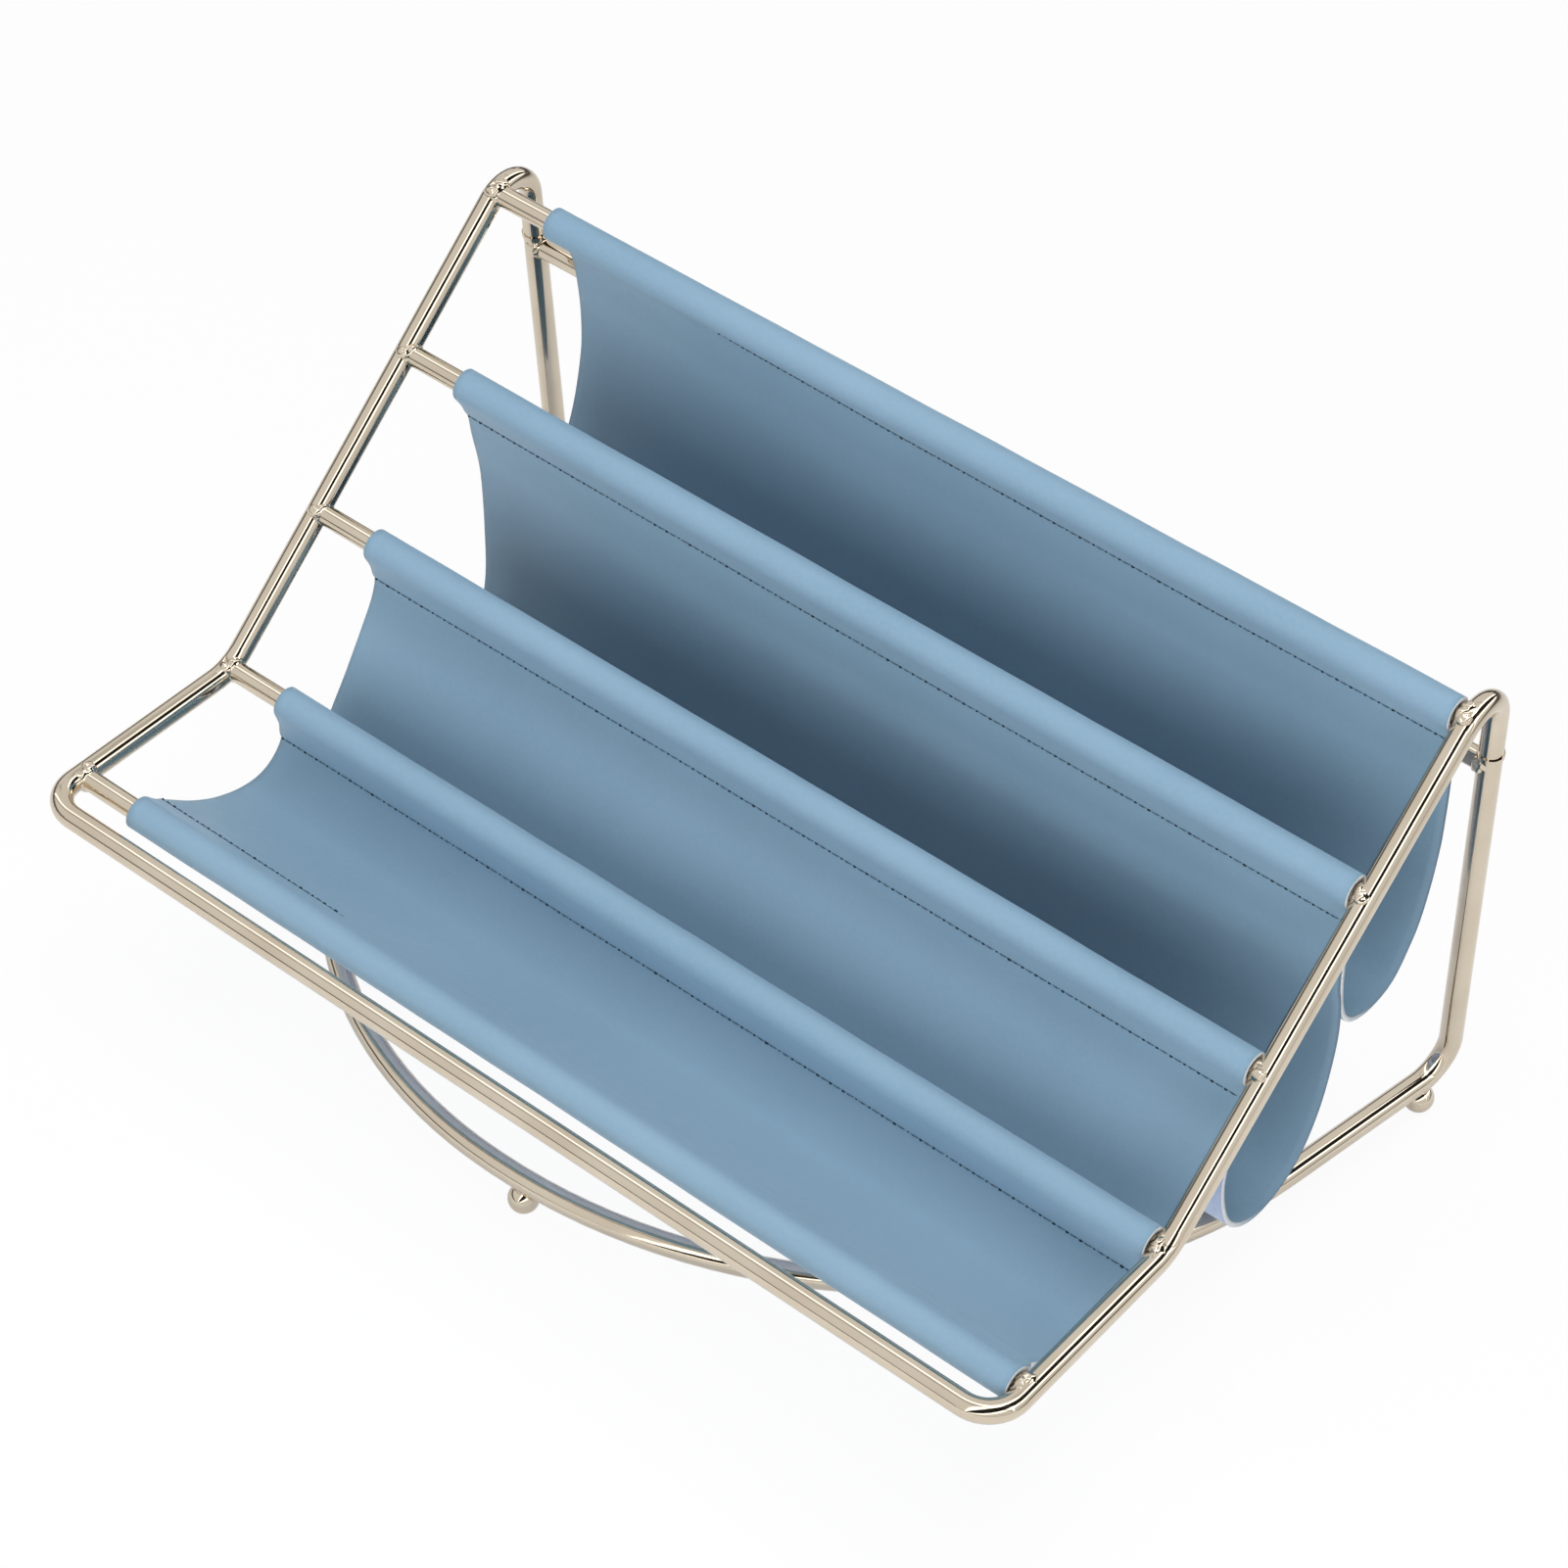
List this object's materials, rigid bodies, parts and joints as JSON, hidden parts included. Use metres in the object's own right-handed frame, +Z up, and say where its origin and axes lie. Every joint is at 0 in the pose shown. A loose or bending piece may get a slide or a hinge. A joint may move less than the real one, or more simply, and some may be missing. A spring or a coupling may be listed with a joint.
{
  "type": "newspaper rack",
  "caption": "Table-top wire rack with sloping side rails and a leather sling hung over round bars in open pockets.",
  "frame": {"origin": "on the table, at the middle of the rack's footprint", "axes": "+X along the bars to the right, +Y from the low front rail to the high back, +Z up"},
  "size_m": [0.3006, 0.2033, 0.156],
  "materials": {
    "frame": "bright light-gold plating on steel wire",
    "weld": "light-gold plating over lumpy weld beads",
    "sling": "smooth matt steel-blue PU leather with a pale fuzzy backing"
  },
  "bodies": {
    "frame": {"upper_frame": "frame", "base_frame": "frame", "crossbar_1": "frame", "crossbar_2": "frame", "crossbar_3": "frame", "crossbar_4": "frame", "crossbar_5": "frame", "rear_crossbar": "frame", "crossbar_1_welds": "weld", "crossbar_2_welds": "weld", "crossbar_3_welds": "weld", "crossbar_4_welds": "weld", "crossbar_5_welds": "weld", "rear_crossbar_welds": "weld", "leg_seam_welds": "weld", "foot_left": "frame", "foot_right": "frame", "foot_front": "frame", "foot_welds": "weld"},
    "sling": {"sling": "sling"}
  },
  "joints": [
    {"name": "sling_slide", "type": "slide", "parent": "frame", "child": "sling", "axis": [1, 0, 0], "range_m": [-0.0164, 0]}
  ]
}
